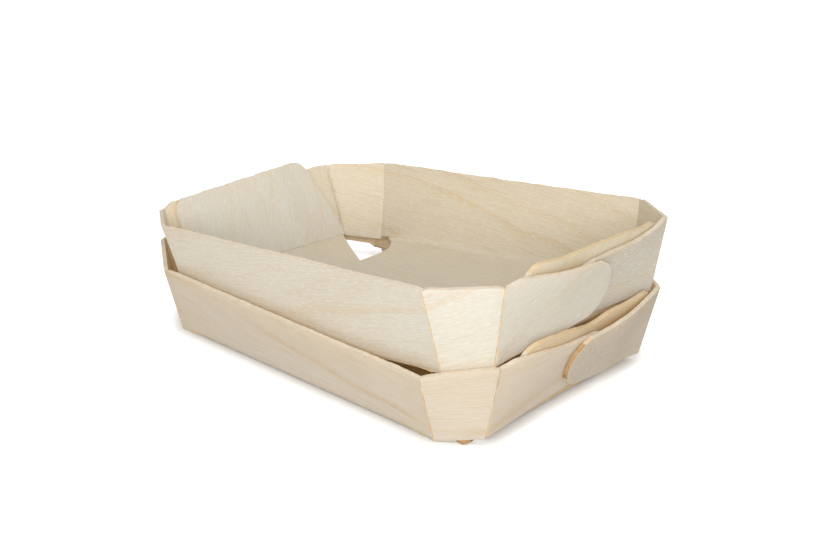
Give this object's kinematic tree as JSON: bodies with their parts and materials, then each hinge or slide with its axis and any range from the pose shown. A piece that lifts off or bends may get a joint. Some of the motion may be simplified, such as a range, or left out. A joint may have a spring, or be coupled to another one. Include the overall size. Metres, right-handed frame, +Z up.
{
  "type": "snack tray",
  "caption": "Nested octagonal snack trays folded from thin poplar veneer, with flared walls, overlapped glued end tabs and upright end flaps.",
  "frame": {"origin": "on the floor under the middle of the lower tray's base, on the base's underside", "axes": "+X along the trays towards the raised end of the upper tray, +Y across them towards the wall that carries the lower outer tabs, +Z up"},
  "size_m": [0.188, 0.1237, 0.0658],
  "materials": {
    "veneer": "raw peeled poplar, matte",
    "glue": "dried adhesive"
  },
  "bodies": {
    "lower_tray": {"lower_base": "veneer", "lower_front_wall": "veneer", "lower_front_left_corner": "veneer", "lower_front_right_corner": "veneer", "lower_rear_wall": "veneer", "lower_rear_left_corner": "veneer", "lower_rear_right_corner": "veneer", "lower_left_ramp": "veneer", "lower_left_outer_tab": "veneer", "lower_left_inner_tab": "veneer", "lower_left_glue_low": "glue", "lower_left_glue_high": "glue", "lower_right_ramp": "veneer", "lower_right_outer_tab": "veneer", "lower_right_inner_tab": "veneer", "lower_right_glue_low": "glue", "lower_right_glue_high": "glue"},
    "lower_left_leaf": {"lower_left_flap": "veneer"},
    "lower_right_leaf": {"lower_right_flap": "veneer"},
    "upper_tray": {"upper_base": "veneer", "upper_front_wall": "veneer", "upper_front_left_corner": "veneer", "upper_front_right_corner": "veneer", "upper_rear_wall": "veneer", "upper_rear_left_corner": "veneer", "upper_rear_right_corner": "veneer", "upper_left_ramp": "veneer", "upper_left_outer_tab": "veneer", "upper_left_inner_tab": "veneer", "upper_left_glue_low": "glue", "upper_left_glue_high": "glue", "upper_right_ramp": "veneer", "upper_right_outer_tab": "veneer", "upper_right_inner_tab": "veneer", "upper_right_glue_low": "glue", "upper_right_glue_high": "glue"},
    "upper_left_leaf": {"upper_left_flap": "veneer"},
    "upper_right_leaf": {"upper_right_flap": "veneer"}
  },
  "joints": [
    {"name": "upper_tray_lift", "type": "slide", "parent": "lower_tray", "child": "upper_tray", "axis": [0, 0, 1], "range_m": [0, 0.08]},
    {"name": "upper_left_flap_fold", "type": "hinge", "parent": "upper_tray", "child": "upper_left_leaf", "pos_m": [-0.07394, -0.00047, 0.0141], "axis": [0.0041, 0.9993, -0.0382], "range_deg": [0, 60]},
    {"name": "upper_right_flap_fold", "type": "hinge", "parent": "upper_tray", "child": "upper_right_leaf", "pos_m": [0.08303, -0.00047, 0.03116], "axis": [-0.0041, -0.9993, 0.0382], "range_deg": [0, 60]},
    {"name": "lower_left_flap_fold", "type": "hinge", "parent": "lower_tray", "child": "lower_left_leaf", "pos_m": [-0.07895, 0, 0.00314], "axis": [0, 1, 0], "range_deg": [0, 8]},
    {"name": "lower_right_flap_fold", "type": "hinge", "parent": "lower_tray", "child": "lower_right_leaf", "pos_m": [0.07895, 0, 0.00314], "axis": [0, -1, 0], "range_deg": [0, 8]}
  ],
  "couplings": [
    {"joint": "lower_left_flap_fold", "follows": "upper_tray_lift", "rad_per_m": 1.745},
    {"joint": "lower_right_flap_fold", "follows": "upper_tray_lift", "rad_per_m": 1.745}
  ]
}
